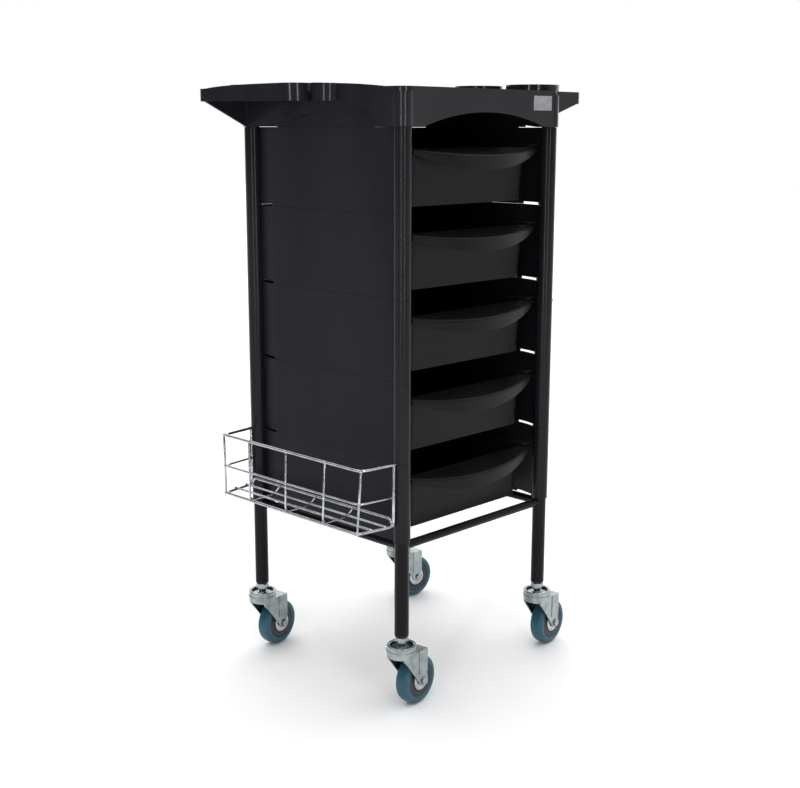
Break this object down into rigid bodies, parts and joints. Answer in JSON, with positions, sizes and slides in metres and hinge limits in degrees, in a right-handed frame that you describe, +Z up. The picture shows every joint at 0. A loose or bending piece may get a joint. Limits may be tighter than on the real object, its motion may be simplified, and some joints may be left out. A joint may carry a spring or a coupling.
{
  "type": "rolling salon trolley",
  "caption": "Rolling salon trolley: open pull-out drawers stacked between round posts, a winged tray on top, a wire side basket and swivel castors.",
  "frame": {"origin": "on the floor under the middle of the overall box", "axes": "+Z up, drawers open towards -Y, wire basket on the -X side"},
  "size_m": [0.5202, 0.3818, 0.939],
  "materials": {
    "powder_coat": "semi-gloss black powder coat",
    "plug_plastic": "moulded black end plug",
    "module_plastic": "finely textured black moulding",
    "drawer_plastic": "satin black moulding",
    "tray_plastic": "satin black moulding",
    "label": "brushed blank plate",
    "basket_wire": "bright plated wire",
    "zinc": "bright zinc plate",
    "dust_cap": "zinc plated disc",
    "peg": "grey moulded peg",
    "hub_plastic": "dark brown-black moulded hub",
    "tyre": "blue-grey non-marking rubber"
  },
  "bodies": {
    "frame": {"post_front_left": "powder_coat", "post_rear_left": "powder_coat", "post_front_right": "powder_coat", "post_rear_right": "powder_coat", "post_end_plugs": "plug_plastic", "lower_bar_front": "powder_coat", "lower_bar_rear": "powder_coat", "lower_bar_left": "powder_coat", "lower_bar_right": "powder_coat", "left_side_module_1": "module_plastic", "right_side_module_1": "module_plastic", "back_panel_1": "module_plastic", "left_side_module_2": "module_plastic", "right_side_module_2": "module_plastic", "back_panel_2": "module_plastic", "left_side_module_3": "module_plastic", "right_side_module_3": "module_plastic", "back_panel_3": "module_plastic", "left_side_module_4": "module_plastic", "right_side_module_4": "module_plastic", "back_panel_4": "module_plastic", "left_side_module_5": "module_plastic", "right_side_module_5": "module_plastic", "back_panel_5": "module_plastic", "tray_top": "tray_plastic", "tray_screws": "zinc", "label_plate": "label", "side_basket": "basket_wire", "side_peg": "peg", "castor_nuts": "zinc", "castor_stem_front_left": "zinc", "castor_stem_rear_left": "zinc", "castor_stem_front_right": "zinc", "castor_stem_rear_right": "zinc"},
    "drawer_body_1": {"drawer_1": "drawer_plastic"},
    "drawer_body_2": {"drawer_2": "drawer_plastic"},
    "drawer_body_3": {"drawer_3": "drawer_plastic"},
    "drawer_body_4": {"drawer_4": "drawer_plastic"},
    "drawer_body_5": {"drawer_5": "drawer_plastic"},
    "castor_front_left": {"castor_fork_front_left": "zinc", "axle_bolt_front_left": "zinc"},
    "wheel_front_left": {"wheel_hub_front_left": "hub_plastic", "tyre_front_left": "tyre", "dust_caps_front_left": "dust_cap"},
    "castor_rear_left": {"castor_fork_rear_left": "zinc", "axle_bolt_rear_left": "zinc"},
    "wheel_rear_left": {"wheel_hub_rear_left": "hub_plastic", "tyre_rear_left": "tyre", "dust_caps_rear_left": "dust_cap"},
    "castor_front_right": {"castor_fork_front_right": "zinc", "axle_bolt_front_right": "zinc"},
    "wheel_front_right": {"wheel_hub_front_right": "hub_plastic", "tyre_front_right": "tyre", "dust_caps_front_right": "dust_cap"},
    "castor_rear_right": {"castor_fork_rear_right": "zinc", "axle_bolt_rear_right": "zinc"},
    "wheel_rear_right": {"wheel_hub_rear_right": "hub_plastic", "tyre_rear_right": "tyre", "dust_caps_rear_right": "dust_cap"}
  },
  "joints": [
    {"name": "drawer_slide_1", "type": "slide", "parent": "frame", "child": "drawer_body_1", "axis": [0, -1, 0], "range_m": [0, 0.26]},
    {"name": "drawer_slide_2", "type": "slide", "parent": "frame", "child": "drawer_body_2", "axis": [0, -1, 0], "range_m": [0, 0.26]},
    {"name": "drawer_slide_3", "type": "slide", "parent": "frame", "child": "drawer_body_3", "axis": [0, -1, 0], "range_m": [0, 0.26]},
    {"name": "drawer_slide_4", "type": "slide", "parent": "frame", "child": "drawer_body_4", "axis": [0, -1, 0], "range_m": [0, 0.26]},
    {"name": "drawer_slide_5", "type": "slide", "parent": "frame", "child": "drawer_body_5", "axis": [0, -1, 0], "range_m": [0, 0.26]},
    {"name": "swivel_front_left", "type": "hinge", "parent": "frame", "child": "castor_front_left", "pos_m": [-0.1547, -0.1669, 0.09], "axis": [0, 0, 1], "continuous": true},
    {"name": "roll_front_left", "type": "hinge", "parent": "castor_front_left", "child": "wheel_front_left", "pos_m": [-0.11996, -0.16264, 0.038], "axis": [-0.1219, 0.9925, 0], "continuous": true},
    {"name": "swivel_rear_left", "type": "hinge", "parent": "frame", "child": "castor_rear_left", "pos_m": [-0.1547, 0.1625, 0.09], "axis": [0, 0, 1], "continuous": true},
    {"name": "roll_rear_left", "type": "hinge", "parent": "castor_rear_left", "child": "wheel_rear_left", "pos_m": [-0.12013, 0.16798, 0.038], "axis": [-0.1564, 0.9877, 0], "continuous": true},
    {"name": "swivel_front_right", "type": "hinge", "parent": "frame", "child": "castor_front_right", "pos_m": [0.1747, -0.1669, 0.09], "axis": [0, 0, 1], "continuous": true},
    {"name": "roll_front_right", "type": "hinge", "parent": "castor_front_right", "child": "wheel_front_right", "pos_m": [0.20951, -0.16324, 0.038], "axis": [-0.1045, 0.9945, 0], "continuous": true},
    {"name": "swivel_rear_right", "type": "hinge", "parent": "frame", "child": "castor_rear_right", "pos_m": [0.1747, 0.1625, 0.09], "axis": [0, 0, 1], "continuous": true},
    {"name": "roll_rear_right", "type": "hinge", "parent": "castor_rear_right", "child": "wheel_rear_right", "pos_m": [0.20951, 0.15884, 0.038], "axis": [0.1045, 0.9945, 0], "continuous": true}
  ]
}
